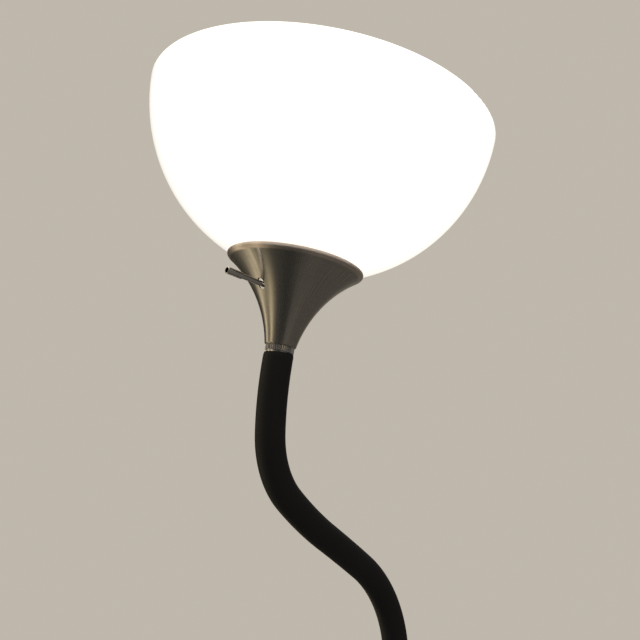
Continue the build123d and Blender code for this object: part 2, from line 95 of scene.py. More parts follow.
# The sleeve's edges that turn by more than this stay crisp.
SHARP_ANGLE = radians(35.0)

# Tones that metal mirrors: two tall warm panels on the camera's left, a dark front, and a dim
# right. Each has its place by the way the surface faces, from left (0) over the camera (0.5) to
# right (1).
PANELS = (
    (0.0, (0.07, 0.063, 0.05)),
    (0.09, (0.05, 0.046, 0.038)),
    (0.145, (0.12, 0.105, 0.08)),
    (0.185, (1.1, 0.94, 0.68)),
    (0.225, (0.3, 0.26, 0.18)),
    (0.262, (0.22, 0.19, 0.13)),
    (0.3, (0.9, 0.76, 0.52)),
    (0.345, (0.2, 0.17, 0.125)),
    (0.4, (0.06, 0.057, 0.05)),
    (0.47, (0.035, 0.034, 0.031)),
    (0.52, (0.04, 0.038, 0.035)),
    (0.56, (0.11, 0.1, 0.09)),
    (0.61, (0.125, 0.115, 0.1)),
    (0.68, (0.1, 0.093, 0.082)),
    (0.86, (0.1, 0.093, 0.082)),
    (1.0, (0.24, 0.215, 0.18)),
)
# The same near the floor, where the second panel ends.
LOW_PANELS = (
    (0.0, (0.05, 0.046, 0.038)),
    (0.13, (0.09, 0.08, 0.06)),
    (0.185, (0.6, 0.52, 0.38)),
    (0.24, (0.2, 0.175, 0.125)),
    (0.31, (0.13, 0.115, 0.085)),
    (0.4, (0.06, 0.057, 0.05)),
    (0.47, (0.035, 0.034, 0.031)),
    (0.56, (0.1, 0.092, 0.083)),
    (0.86, (0.1, 0.093, 0.082)),
    (1.0, (0.2, 0.18, 0.15)),
)
CEILING_TONE = (0.5, 0.44, 0.37)

# Where each of these sets in and is full, by the height of the mirrored direction, from straight
# down (-1) to straight up (1): the panels' fanning out, the low tones, and the ceiling.
FAN_HEIGHTS = (-0.2, -0.6)
LOW_HEIGHTS = (-0.5, -0.8)
CEILING_HEIGHTS = (0.42, 0.8)

# How far the panels fan out towards the front, and the places between which that sets in.
PANEL_FAN = 0.1
FAN_PLACES = (0.42, 0.28)

# Tint of the even light, and of the soft lamp.
EVEN_TINT = (1.0, 0.95, 0.87)
LAMP_TINT = (1.0, 0.95, 0.88)


# ---------------------------------------------------------------- shader helpers

def add_node(tree, kind, sockets=None, **settings):
    """Add a shader node, set its properties, and give its inputs a value or a link."""
    node = tree.nodes.new(kind)
    for name, value in settings.items():
        setattr(node, name, value)
    for name, value in (sockets or {}).items():
        if isinstance(value, bpy.types.NodeSocket):
            tree.links.new(value, node.inputs[name])
        else:
            node.inputs[name].default_value = value
    return node


def math_node(tree, operation, first, second=0.0):
    """One arithmetic node, and its result."""
    return add_node(tree, "ShaderNodeMath", {0: first, 1: second}, operation=operation).outputs[0]


def vector_node(tree, operation, first, second=(0.0, 0.0, 0.0)):
    """One vector node, and its result."""
    outputs = add_node(tree, "ShaderNodeVectorMath", {0: first, 1: second},
                       operation=operation).outputs
    return outputs["Value" if operation in ("DOT_PRODUCT", "LENGTH") else "Vector"]


def scaled(tree, vector, factor):
    """A vector times a number."""
    return add_node(tree, "ShaderNodeVectorMath", {0: vector, "Scale": factor},
                    operation="SCALE").outputs["Vector"]


def height_of(tree, vector):
    """The Z of a vector."""
    return add_node(tree, "ShaderNodeSeparateXYZ", {0: vector}).outputs["Z"]


def along_z(tree, value):
    """A vector along Z of this length."""
    return add_node(tree, "ShaderNodeCombineXYZ", {"Z": value}).outputs[0]


def noise(tree, vector, scale, detail):
    """Soft noise round 0.5."""
    return add_node(tree, "ShaderNodeTexNoise", {
        "Vector": vector, "Scale": scale, "Detail": detail}).outputs["Fac"]


def rising(tree, value, start, full, top=1.0, **settings):
    """A mask that is 0 where the value is at its start, and at its top where the value is full."""
    return add_node(tree, "ShaderNodeMapRange", {
        "Value": value, "From Min": start, "From Max": full, "To Max": top},
        **settings).outputs["Result"]


def span(tree, value, low, high):
    """Stretch a mask from 0..1 to low..high."""
    return add_node(tree, "ShaderNodeMapRange", {
        "Value": value, "To Min": low, "To Max": high}).outputs["Result"]


def ramp(tree, factor, stops):
    """A colour ramp with these (position, colour) stops."""
    node = add_node(tree, "ShaderNodeValToRGB", {"Fac": factor})
    node.color_ramp.interpolation = "EASE"
    elements = node.color_ramp.elements
    elements[0].position, elements[0].color = stops[0][0], (*stops[0][1], 1)
    elements[1].position, elements[1].color = stops[-1][0], (*stops[-1][1], 1)
    for position, colour in stops[1:-1]:
        elements.new(position).color = (*colour, 1)
    return node.outputs["Color"]


def mixed(tree, factor, first, second):
    """Mix of two colours."""
    node = add_node(tree, "ShaderNodeMix", {"Factor": factor}, data_type="RGBA")
    for index, value in ((6, first), (7, second)):
        if isinstance(value, bpy.types.NodeSocket):
            tree.links.new(value, node.inputs[index])
        else:
            node.inputs[index].default_value = (*value, 1)
    return node.outputs[2]


def dimmed(colour, share):
    """The same colour at this share of its light."""
    return tuple(channel * share for channel in colour)


# ---------------------------------------------------------------- shared effects

def new_group(name, inputs, outputs):
    """An empty shader node group with named float or vector sockets."""
    tree = bpy.data.node_groups.new(name, "ShaderNodeTree")
    for socket, (kind, default) in inputs.items():
        made = tree.interface.new_socket(socket, in_out="INPUT", socket_type=f"NodeSocket{kind}")
        if default is not None:
            made.default_value = default
    for socket in outputs:
        tree.interface.new_socket(socket, in_out="OUTPUT", socket_type="NodeSocketFloat")
    given = tree.nodes.new("NodeGroupInput").outputs
    return tree, given, tree.nodes.new("NodeGroupOutput").inputs


def grain_group():
    """Fine even grain with slow clouds over it, for moulded, cast and painted surfaces."""
    inputs = {"Vector": ("Vector", None), "Grain Scale": ("Float", 900.0),
              "Cloud Scale": ("Float", 18.0)}
    tree, given, result = new_group("Fine Grain", inputs, ("Height", "Clouds"))
    for scale, detail, output in (("Grain Scale", 3.0, "Height"), ("Cloud Scale", 5.0, "Clouds")):
        fine = noise(tree, given["Vector"], given[scale], detail)
        tree.links.new(rising(tree, fine, *NOISE_RANGE), result[output])
    return tree


def brushing_group():
    """Lines brushed round the Z axis of a vector, slow clouds, and streaks down the sides."""
    inputs = {"Vector": ("Vector", None), "Lines": ("Float", 5000.0), "Around": ("Float", 2.5),
              "Streak Scale": ("Float", 14.0)}
    tree, given, result = new_group("Turned Brushing", inputs, ("Height", "Clouds", "Streaks"))
    axes = add_node(tree, "ShaderNodeSeparateXYZ", {0: given["Vector"]}).outputs
    across = add_node(tree, "ShaderNodeCombineXYZ", {"X": axes["X"], "Y": axes["Y"]}).outputs[0]
    way = vector_node(tree, "NORMALIZE", across)
    level = math_node(tree, "ADD", axes["Z"], vector_node(tree, "LENGTH", across))
    lines = along_z(tree, math_node(tree, "MULTIPLY", level, given["Lines"]))
    place = vector_node(tree, "ADD", scaled(tree, way, given["Around"]), lines)
    tree.links.new(noise(tree, place, 1.0, 2.0), result["Height"])
    slow = vector_node(tree, "MULTIPLY", place, (1.0, 1.0, 0.06))
    drift = along_z(tree, math_node(tree, "MULTIPLY", level, 9.0))
    spread = vector_node(tree, "ADD", scaled(tree, way, given["Streak Scale"]), drift)
    for vector, output in ((slow, "Clouds"), (spread, "Streaks")):
        tree.links.new(rising(tree, noise(tree, vector, 1.0, 3.0), *NOISE_RANGE), result[output])
    return tree


def dust_group():
    """Mask of the dust that settles on faces that look up."""
    tree, given, result = new_group("Settled Dust", {"Vector": ("Vector", None)}, ("Mask",))
    normal = tree.nodes.new("ShaderNodeNewGeometry").outputs["Normal"]
    flat = rising(tree, height_of(tree, normal), 0.6, 1.0)
    specks = noise(tree, given["Vector"], 240.0, 6.0)
    tree.links.new(math_node(tree, "MULTIPLY", flat, specks), result["Mask"])
    return tree


def effect(tree, name, sockets):
    """Place a shared effect in a material, built on its first use, and give its outputs."""
    makers = {"Fine Grain": grain_group, "Turned Brushing": brushing_group,
              "Settled Dust": dust_group}
    group = bpy.data.node_groups.get(name) or makers[name]()
    return add_node(tree, "ShaderNodeGroup", sockets, node_tree=group).outputs


# ---------------------------------------------------------------- finishes

def new_material(name, of_head=False):
    """A material with its shader, and the place on the lamp or on the upright head."""
    material = bpy.data.materials.new(name)
    material.use_nodes = True
    tree = material.node_tree
    place = tree.nodes.new("ShaderNodeTexCoord").outputs["Object"]
    if of_head:
        place = add_node(tree, "ShaderNodeMapping", {
            "Vector": place, "Location": head_origin(), "Rotation": (0.0, HEAD_LEAN, 0.0)},
            vector_type="TEXTURE").outputs["Vector"]
    shader = next(node for node in tree.nodes if node.type == "BSDF_PRINCIPLED")
    return material, tree, shader, place


def feed(tree, shader, **sources):
    """Link sources to the shader's inputs; underscores in the names stand for spaces."""
    for name, source in sources.items():
        tree.links.new(source, shader.inputs[name.replace("_", " ")])


def bump(tree, shader, height, depth):
    """Surface relief from a height, with its depth in metres."""
    made = add_node(tree, "ShaderNodeBump", {
        "Height": height, "Distance": depth, "Strength": 1.0})
    tree.links.new(made.outputs["Normal"], shader.inputs["Normal"])


def round_tangent(tree, place, of_head):
    """Direction round the lamp's axis, or round the leaning head's, at each point."""
    way = vector_node(tree, "CROSS_PRODUCT", UP, place)
    if of_head:
        way = add_node(tree, "ShaderNodeVectorRotate", {"Vector": way, "Angle": HEAD_LEAN},
                       rotation_type="Y_AXIS").outputs[0]
    return add_node(tree, "ShaderNodeVectorTransform", {"Vector": way}, vector_type="VECTOR",
                    convert_from="OBJECT", convert_to="WORLD").outputs[0]


def satin_lip_and_painted_reflection(tree, place, tint, rough, relief, depth):
    """Painted reflection of the glowing bowl on the cup's lip as a lighter tint, with duller metal whose face
    draws in towards its top.
    """
    height = height_of(tree, place)
    lip = rising(tree, height, LIP_FOOT, LIP_FOOT + LIP_BLEND)
    drawn = rising(tree, height, LIP_FOOT, LIP_TOP, -LIP_DRAW / depth,
                   interpolation_type="SMOOTHSTEP")
    return (mixed(tree, lip, tint, LIP_PAINTED_REFLECTION),
            math_node(tree, "ADD", rough, math_node(tree, "MULTIPLY", lip, 0.2)),
            math_node(tree, "ADD", relief, drawn))


def brushed_metal(name, colour, roughness, of_head=False, lines=5000.0, depth=8e-6, dusty=0.0):
    """Metal brushed round its axis: gloss drawn out down its sides, fine lines, faint streaks."""
    material, tree, shader, place = new_material(name, of_head)
    brushing = effect(tree, "Turned Brushing", {"Vector": place, "Lines": lines})
    relief = brushing["Height"]
    tint = mixed(tree, brushing["Clouds"], dimmed(colour, 0.93), colour)
    tint = mixed(tree, span(tree, brushing["Streaks"], 0.12, 0.0), tint, STREAK_TONE)
    rough = span(tree, brushing["Streaks"], roughness * 1.12, roughness * 0.9)
    # On the head, the cup's lip gets a lighter tint: a painted reflection of the glowing bowl.
    if of_head:
        tint, rough, relief = satin_lip_and_painted_reflection(tree, place, tint, rough, relief, depth)
    shader.inputs["Metallic"].default_value = 1.0
    shader.inputs["Anisotropic"].default_value = 0.85
    shader.inputs["Anisotropic Rotation"].default_value = 0.25
    feed(tree, shader, Tangent=round_tangent(tree, place, of_head))
    if dusty:
        dust = effect(tree, "Settled Dust", {"Vector": place})["Mask"]
        share = math_node(tree, "MULTIPLY", dust, dusty)
        tint = mixed(tree, share, tint, METAL_DUST)
        rough = math_node(tree, "ADD", rough, share)
    feed(tree, shader, Base_Color=tint, Roughness=rough)
    bump(tree, shader, relief, depth)
    return material


def knob_hollow(tree):
    """Mask of the inside of the knob's hollow end, where shade is painted."""
    place = tree.nodes.new("ShaderNodeTexCoord").outputs["Object"]
    offset = vector_node(tree, "SUBTRACT", place, PLACE_OF["switch_turn"])
    along = vector_node(tree, "DOT_PRODUCT", offset, SWITCH_WAY)
    radius = vector_node(tree, "LENGTH", vector_node(tree, "CROSS_PRODUCT", offset, SWITCH_WAY))
    return math_node(tree, "MULTIPLY",
                     math_node(tree, "LESS_THAN", radius, KNOB_BORE),
                     math_node(tree, "GREATER_THAN", along, KNOB_BORE_FLOOR))


def polished_metal(name, colour, roughness, of_head=False):
    """Plated metal with a soft haze and hairline wipes, and painted shade inside the knob's hollow end."""
    material, tree, shader, place = new_material(name, of_head)
    grain = effect(tree, "Fine Grain", {"Vector": place, "Cloud Scale": 140.0})
    wipes = effect(tree, "Turned Brushing", {"Vector": place, "Lines": 2500.0})
    tint = mixed(tree, grain["Clouds"], dimmed(colour, 0.86), colour)
    rough = span(tree, grain["Clouds"], roughness, roughness * 1.8)
    if of_head:
        # Painted shade darkens the inside of the knob's hollow end.
        hollow = knob_hollow(tree)
        tint = mixed(tree, hollow, tint, HOLLOW_PAINTED_SHADE)
        rough = math_node(tree, "ADD", rough, math_node(tree, "MULTIPLY", hollow, 0.5))
    shader.inputs["Metallic"].default_value = 1.0
    feed(tree, shader, Base_Color=tint, Roughness=rough)
    bump(tree, shader, wipes["Height"], 4e-6)
    return material


def rolled_screw(name, colour, roughness):
    """Thin rolled metal of the bulb's cap and the screw shell, with darker, duller stained patches here and there.
    """
    material, tree, shader, place = new_material(name, of_head=True)
    brushing = effect(tree, "Turned Brushing", {"Vector": place, "Lines": 1800.0})
    stained = (colour[0] * 0.6, colour[1] * 0.56, colour[2] * 0.5)
    shader.inputs["Metallic"].default_value = 1.0
    feed(tree, shader, Base_Color=mixed(tree, brushing["Clouds"], stained, colour),
         Roughness=span(tree, brushing["Clouds"], roughness * 1.5, roughness))
    bump(tree, shader, brushing["Height"], 1.2e-5)
    return material


def moulded(name, colour, roughness, of_head=False, grain_scale=900.0, depth=2e-5, dusty=0.0,
            gloss=0.5):
    """Moulded plastic, rubber or cast metal with its own fine grain."""
    material, tree, shader, place = new_material(name, of_head)
    shader.inputs["Specular IOR Level"].default_value = gloss
    grain = effect(tree, "Fine Grain", {"Vector": place, "Grain Scale": grain_scale})
    tint = mixed(tree, grain["Clouds"], dimmed(colour, 0.78), colour)
    rough = span(tree, grain["Clouds"], roughness * 0.9, min(1.0, roughness * 1.12))
    if dusty:
        dust = effect(tree, "Settled Dust", {"Vector": place})["Mask"]
        tint = mixed(tree, math_node(tree, "MULTIPLY", dust, dusty), tint, MOULDED_DUST)
    feed(tree, shader, Base_Color=tint, Roughness=rough)
    bump(tree, shader, grain["Height"], depth)
    return material


def bowl_glow(tree, place, clouds, settings):
    """The bowl's light: fullest on its outer face, and fainter at its rim and on its inner face."""
    level = rising(tree, height_of(tree, place), *BOWL_HEIGHTS)
    full, rim = tuple(settings.glow), dimmed(settings.glow, 0.93)
    glow = ramp(tree, level, ((0.0, rim), (0.12, full), (0.93, full), (1.0, rim)))
    cloud = mixed(tree, clouds, (0.965, 0.965, 0.96), (1.0, 1.0, 1.0))
    whole = tree.nodes.new("ShaderNodeTexCoord").outputs
    middle = head_origin() + BOWL_MIDDLE * axis_at(HEAD_LEAN)
    outwards = vector_node(tree, "SUBTRACT", whole["Object"], middle)
    outside = math_node(tree, "GREATER_THAN",
                        vector_node(tree, "DOT_PRODUCT", whole["Normal"], outwards))
    return mixed(tree, outside, tuple(settings.inner_glow),
                 vector_node(tree, "MULTIPLY", glow, cloud))


def opal(name, settings):
    """Opal glass lit from inside, faintly clouded, under a clear gloss."""
    material, tree, shader, place = new_material(name, of_head=True)
    clouds = effect(tree, "Fine Grain", {"Vector": place, "Cloud Scale": 9.0})["Clouds"]
    shader.inputs["Roughness"].default_value = 0.16
    shader.inputs["Coat Weight"].default_value = 0.3
    shader.inputs["Emission Strength"].default_value = settings.strength
    feed(tree, shader, Base_Color=mixed(tree, clouds, (0.86, 0.85, 0.8), settings.glass),
         Emission_Color=bowl_glow(tree, place, clouds, settings))
    return material


def frosted_bulb(name, settings):
    """Frosted bulb glass, a little uneven in its light, twice as bright as the bowl."""
    material, tree, shader, place = new_material(name, of_head=True)
    clouds = effect(tree, "Fine Grain", {"Vector": place, "Cloud Scale": 60.0})["Clouds"]
    shader.inputs["Roughness"].default_value = 0.35
    shader.inputs["Emission Strength"].default_value = 2.0 * settings.strength
    feed(tree, shader,
         Base_Color=mixed(tree, clouds, (0.93, 0.92, 0.88), (0.97, 0.96, 0.93)),
         Emission_Color=mixed(tree, clouds, (1.0, 0.93, 0.78), (1.0, 0.97, 0.88)))
    return material


def finish_for(slot, of_head, settings):
    """The material of one slot of the record, for the stand or for the leaning head."""
    name = f"{slot}_head" if of_head else f"{slot}_stand"
    known = bpy.data.materials.get(name)
    if known:
        return known
    makers = {
        "brushed_nickel": lambda: brushed_metal(name, settings.cups.nickel, 0.27, of_head,
                                                dusty=0.0 if of_head else 0.5),
        "zinc_steel": lambda: brushed_metal(name, (0.55, 0.56, 0.58), 0.34, of_head, lines=2600.0),
        "chrome": lambda: polished_metal(name, settings.cups.chrome, 0.16, of_head),
        "filament": lambda: polished_metal(name, (0.5, 0.48, 0.45), 0.2, of_head),
        "brass": lambda: rolled_screw(name, (0.76, 0.58, 0.27), 0.24),
        "bulb_metal": lambda: rolled_screw(name, (0.72, 0.72, 0.7), 0.26),
        "opal": lambda: opal(name, settings.shade),
        "frosted_glass": lambda: frosted_bulb(name, settings.shade),
        "white_plastic": lambda: moulded(name, (0.86, 0.85, 0.81), 0.4, of_head),
        "black_plastic": lambda: moulded(name, (0.025, 0.025, 0.027), 0.45, of_head),
        "black_glass": lambda: moulded(name, (0.03, 0.03, 0.03), 0.12, of_head,
                                       grain_scale=300.0, depth=4e-6),
        "phenolic": lambda: moulded(name, (0.035, 0.03, 0.026), 0.38, of_head,
                                    grain_scale=1400.0, depth=1e-5),
        "lead_jacket": lambda: moulded(name, (0.035, 0.034, 0.034), 0.55, grain_scale=700.0),
        "pad": lambda: moulded(name, (0.04, 0.04, 0.043), 0.95, grain_scale=1100.0, depth=2.5e-4),
        "cast_iron": lambda: moulded(name, (0.16, 0.16, 0.165), 0.72, grain_scale=420.0,
                                     depth=1.6e-4, dusty=0.6),
        "black_rubber": lambda: moulded(name, settings.neck.rubber, 0.56, grain_scale=1600.0,
                                        depth=1.5e-5, dusty=0.05, gloss=0.3),
    }
    return makers[slot]()


# ---------------------------------------------------------------- places on the neck and head

def axis_at(lean):
    """Direction of an axis that leans this far in the neck's plane."""
    return Vector((sin(lean), 0.0, cos(lean)))


def along_neck(distance):
    """Point and lean on the neck's centre line, this far above the neck's foot."""
    point = PLACE_OF["neck_lean_1"] - Vector((0.0, 0.0, NECK_ARC))
    lean = 0.0
    for turn in NECK_TURNS:
        run = min(distance, NECK_ARC)
        bend = radians(turn) * run / NECK_ARC
        chord = run if abs(bend) < 1e-9 else 2 * run / bend * sin(bend / 2)
        point = point + chord * axis_at(lean + bend / 2)
        lean += bend
        distance -= run
        if distance <= 0:
            break
    return point, lean


def head_origin():
    """The middle of the cup's underside."""
    point, lean = along_neck(NECK_LENGTH)
    return point + RING_RISE * axis_at(lean)


# ---------------------------------------------------------------- the sleeve's mesh

def link_piece(bm, name, material):
    """Turn a finished mesh into an object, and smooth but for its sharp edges."""
    bmesh.ops.recalc_face_normals(bm, faces=bm.faces)
    for edge in bm.edges:
        edge.smooth = edge.calc_face_angle(0.0) < SHARP_ANGLE
    mesh = bpy.data.meshes.new(name)
    bm.to_mesh(mesh)
    bm.free()
    for face in mesh.polygons:
        face.use_smooth = True
    mesh.materials.append(material)
    piece = bpy.data.objects.new(name, mesh)
    bpy.context.scene.collection.objects.link(piece)
    return piece


def loft(bm, rings):
    """Skin a closed run of rings: each ring joins the next, and the last joins the first."""
    loops = [[bm.verts.new(point) for point in ring] for ring in rings]
    sides = len(loops[0])
    for lower, upper in zip(loops, loops[1:] + loops[:1]):
        for side in range(sides):
            after = (side + 1) % sides
            bm.faces.new((lower[side], lower[after], upper[after], upper[side]))


def sleeve_ring(distance, radius, settings):
    """Ring of points round the neck's centre line; the sleeve's upper end is cut at a slant."""
    centre, lean = along_neck(distance)
    along = axis_at(lean)
    across = Vector((cos(lean), 0.0, -sin(lean)))
    from_top = NECK_LENGTH - distance
    rise = settings.slant * max(0.0, 1.0 - from_top / settings.slant_length) / 2
    ring = []
    for side in range(settings.sides):
        turn = 2 * pi * side / settings.sides
        outward = cos(turn) * across + sin(turn) * Vector((0.0, 1.0, 0.0))
        ring.append(centre + radius * outward + rise * (1 + cos(turn - settings.slant_way)) * along)
    return ring


def sleeve_profile(low, high, settings):
    """(distance, radius) pairs along the outside, and back down the bore, thinner at both ends."""
    steps = max(2, round((high - low) / settings.ring_spacing))
    outside = []
    bore = []
    for step in range(steps + 1):
        distance = low + (high - low) * step / steps
        from_end = min(distance, NECK_LENGTH - distance)
        eased = max(0.0, settings.end_round - from_end)
        drop = settings.end_round - sqrt(max(0.0, settings.end_round ** 2 - eased ** 2))
        wall = settings.end_wall if from_end < settings.end_depth else settings.wall
        outside.append((distance, settings.radius - drop))
        bore.append((distance, settings.radius - wall))
    return outside + bore[::-1]


# ---------------------------------------------------------------- what a user may change

class NeckSettings(bpy.types.PropertyGroup):
    """Sizes and colour of the rubber sleeve."""
    radius: bpy.props.FloatProperty(
        name="Radius", description="Outside radius of the rubber sleeve",
        default=0.0105, min=0.0095, max=0.012, unit="LENGTH")
    wall: bpy.props.FloatProperty(
        name="Wall", description="Thickness of the sleeve's wall",
        default=0.0021, min=0.0005, max=0.0022, unit="LENGTH")
    end_round: bpy.props.FloatProperty(
        name="End Rounding", description="Rounding of the sleeve's two outer ends",
        default=0.0004, min=0.0001, max=0.0015, unit="LENGTH")
    end_wall: bpy.props.FloatProperty(
        name="End Wall", description="Thickness of the wall where an end goes round a fitting",
        default=0.0015, min=0.0005, max=0.0022, unit="LENGTH")
    end_depth: bpy.props.FloatProperty(
        name="End Depth", description="How far the thinner wall reaches from each end",
        default=0.003, min=0.0, max=0.01, unit="LENGTH")
    slant: bpy.props.FloatProperty(
        name="Slant", description="How much higher one side of the upper end stands",
        default=0.0013, min=0.0, max=0.0014, unit="LENGTH")
    slant_length: bpy.props.FloatProperty(
        name="Slant Length", description="Length of sleeve over which the slant fades",
        default=0.012, min=0.002, max=0.027, unit="LENGTH")
    slant_way: bpy.props.FloatProperty(
        name="Slant Direction",
        description="Side that stands highest, round from the bending plane",
        default=radians(-50.0), min=-pi, max=pi, subtype="ANGLE")
    ring_spacing: bpy.props.FloatProperty(
        name="Ring Spacing", description="Distance between the rings of the mesh",
        default=0.0018, min=0.0005, max=0.01, unit="LENGTH")
    bend_length: bpy.props.FloatProperty(
        name="Bend Length", description="Length of sleeve that bends at each joint",
        default=0.048, min=0.01, max=0.054, unit="LENGTH")
    sides: bpy.props.IntProperty(
        name="Sides", description="Number of faces round the sleeve", default=56, min=12, max=128)
    rubber: bpy.props.FloatVectorProperty(
        name="Rubber", description="Colour of the rubber", subtype="COLOR",
        default=(0.005, 0.005, 0.0055), min=0.0, max=1.0)


class ShadeSettings(bpy.types.PropertyGroup):
    """Glow of the opal bowl."""
    glass: bpy.props.FloatVectorProperty(
        name="Glass", description="Colour of the unlit opal glass", subtype="COLOR",
        default=(0.93, 0.92, 0.87), min=0.0, max=1.0)
    glow: bpy.props.FloatVectorProperty(
        name="Glow", description="Colour of the light that comes through the glass",
        subtype="COLOR", default=(1.0, 0.98, 0.94), min=0.0, max=1.0)
    inner_glow: bpy.props.FloatVectorProperty(
        name="Inner Glow", description="Colour of the light from the bowl's inner face",
        subtype="COLOR", default=(0.2, 0.18, 0.15), min=0.0, max=1.0)
    strength: bpy.props.FloatProperty(
        name="Strength", description="How brightly the glass glows",
        default=0.85, min=0.0, max=20.0)


class CupSettings(bpy.types.PropertyGroup):
    """Colours of the lamp's metal."""
    nickel: bpy.props.FloatVectorProperty(
        name="Nickel", description="Colour of the brushed metal", subtype="COLOR",
        default=(0.56, 0.53, 0.47), min=0.0, max=1.0)
    chrome: bpy.props.FloatVectorProperty(
        name="Chrome", description="Colour of the polished metal", subtype="COLOR",
        default=(0.88, 0.85, 0.82), min=0.0, max=1.0)


class StudioSettings(bpy.types.PropertyGroup):
    """Floor, backdrop, light and camera."""
    floor_radius: bpy.props.FloatProperty(
        name="Floor Radius", description="Radius of the round floor",
        default=3.1, min=0.5, max=20.0, unit="LENGTH")
    floor: bpy.props.FloatVectorProperty(
        name="Floor", description="Colour of the floor", subtype="COLOR",
        default=(0.72, 0.69, 0.64), min=0.0, max=1.0)
    backdrop: bpy.props.FloatVectorProperty(
        name="Backdrop", description="Colour behind the lamp", subtype="COLOR",
        default=(0.52, 0.475, 0.41), min=0.0, max=1.0)
    room_light: bpy.props.FloatProperty(
        name="Room Light", description="Strength of the even light from all round",
        default=0.62, min=0.0, max=10.0)
    panel_tilt: bpy.props.FloatProperty(
        name="Panel Tilt", description="How far the mirrored panels lean, as seen by the camera",
        default=radians(10.0), min=radians(-45.0), max=radians(45.0), subtype="ANGLE")
    lamp_size: bpy.props.FloatProperty(
        name="Soft Lamp Size", description="Width of the round soft lamp",
        default=1.6, min=0.1, max=10.0, unit="LENGTH")
    lamp_power: bpy.props.FloatProperty(
        name="Soft Lamp Power", description="Power of the round soft lamp in watts",
        default=28.0, min=0.0, max=1000.0)
    lamp_place: bpy.props.FloatVectorProperty(
        name="Soft Lamp Place", description="Where the soft lamp hangs", subtype="TRANSLATION",
        unit="LENGTH", default=(-1.3, -2.0, 2.9))
    lamp_aim: bpy.props.FloatVectorProperty(
        name="Soft Lamp Aim", description="The point at which the soft lamp is aimed",
        subtype="TRANSLATION", unit="LENGTH", default=(0.0, 0.0, 0.9))
    lens: bpy.props.FloatProperty(
        name="Lens", description="Focal length of the camera in millimetres",
        default=45.0, min=10.0, max=300.0)
    camera_place: bpy.props.FloatVectorProperty(
        name="Camera Place", description="Where the camera stands", subtype="TRANSLATION",
        unit="LENGTH", default=(-0.5466, -0.3768, 1.5606))
    camera_way: bpy.props.FloatVectorProperty(
        name="Camera Way", description="The level direction in which the camera looks",
        subtype="DIRECTION", default=(0.7658, 0.6431, 0.0))


class LampSettings(bpy.types.PropertyGroup):
    """Everything that can be changed on the lamp and round it."""
    neck: bpy.props.PointerProperty(type=NeckSettings)
    shade: bpy.props.PointerProperty(type=ShadeSettings)
    cups: bpy.props.PointerProperty(type=CupSettings)
    studio: bpy.props.PointerProperty(type=StudioSettings)


# ---------------------------------------------------------------- the lamp's pieces

def dress(slots, settings):
    """Give each visible node of these slots its finish."""
    on_head = {*BODIES["head"], *BODIES["switch_stem"]}
    for name, node in NODES.items():
        if SLOT_OF[name] not in slots:
            continue
        material = finish_for(SLOT_OF[name], name in on_head, settings)
        if not node.material_slots:
            node.data.materials.append(material)
        for held in node.material_slots:
            held.material = material


class LAMP_OT_metal(bpy.types.Operator):
    """Finish the cover, pole, cup, ring, switch stem and small metal pieces"""
    bl_idname = "lamp.metal"
    bl_label = "Metal Pieces"

    def execute(self, context):
        dress(("brushed_nickel", "chrome", "zinc_steel", "brass", "bulb_metal", "filament",
               "cast_iron"), context.scene.lamp)
        return {"FINISHED"}


class LAMP_OT_mouldings(bpy.types.Operator):
    """Finish the socket, bushing, clamp ring, leads, floor pad and neck links"""
    bl_idname = "lamp.mouldings"
    bl_label = "Moulded Pieces"

    def execute(self, context):
        dress(("phenolic", "black_plastic", "white_plastic", "black_glass", "lead_jacket", "pad",
               "black_rubber"), context.scene.lamp)
        return {"FINISHED"}


class LAMP_OT_glass(bpy.types.Operator):
    """Finish the opal bowl and the bulb"""
    bl_idname = "lamp.glass"
    bl_label = "Bowl and Bulb"

    def execute(self, context):
        dress(("opal", "frosted_glass"), context.scene.lamp)
        return {"FINISHED"}


class LAMP_OT_sleeve(bpy.types.Operator):
    """Draw the rubber sleeve in lengths that follow the neck's curve, one across each of its joints"""
    bl_idname = "lamp.sleeve"
    bl_label = "Neck Sleeve"

    def execute(self, context):
        settings = context.scene.lamp.neck
        rubber = finish_for("black_rubber", False, context.scene.lamp)
        joints = len(LINKS) - 1
        for number in range(1, joints + 1):
            middle = NECK_ARC * number
            low = 0.0 if number == 1 else middle - NECK_ARC / 2
            high = NECK_LENGTH if number == joints else middle + NECK_ARC / 2
            bm = bmesh.new()
            loft(bm, [sleeve_ring(distance, radius, settings)
                      for distance, radius in sleeve_profile(low, high, settings)])
            piece = link_piece(bm, f"rubber_sleeve_{number}", rubber)
            start, _ = along_neck(middle - settings.bend_length / 2)
            end, _ = along_neck(middle + settings.bend_length / 2)
            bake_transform(piece)
            replaced = [f"neck_sleeve_{number}"]
            if number == joints:
                replaced.append(f"neck_sleeve_{number + 1}")
            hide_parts(*replaced)
        return {"FINISHED"}


# ---------------------------------------------------------------- the studio

def lay_floor(settings):
    """Round pale floor under the lamp."""
    material, tree, shader, place = new_material("studio_floor")
    grain = effect(tree, "Fine Grain", {"Vector": place, "Grain Scale": 60.0, "Cloud Scale": 1.5})
    pale = tuple(settings.floor)
    feed(tree, shader, Base_Color=mixed(tree, grain["Clouds"], dimmed(pale, 0.96), pale))
    shader.inputs["Roughness"].default_value = 0.85
    bm = bmesh.new()
    bmesh.ops.create_circle(bm, cap_ends=True, radius=settings.floor_radius, segments=128)
    mesh = bpy.data.meshes.new("studio_floor")
    bm.to_mesh(mesh)
    bm.free()
    mesh.materials.append(material)
    floor = bpy.data.objects.new("studio_floor", mesh)
    bpy.context.scene.collection.objects.link(floor)
    floor.visible_glossy = False


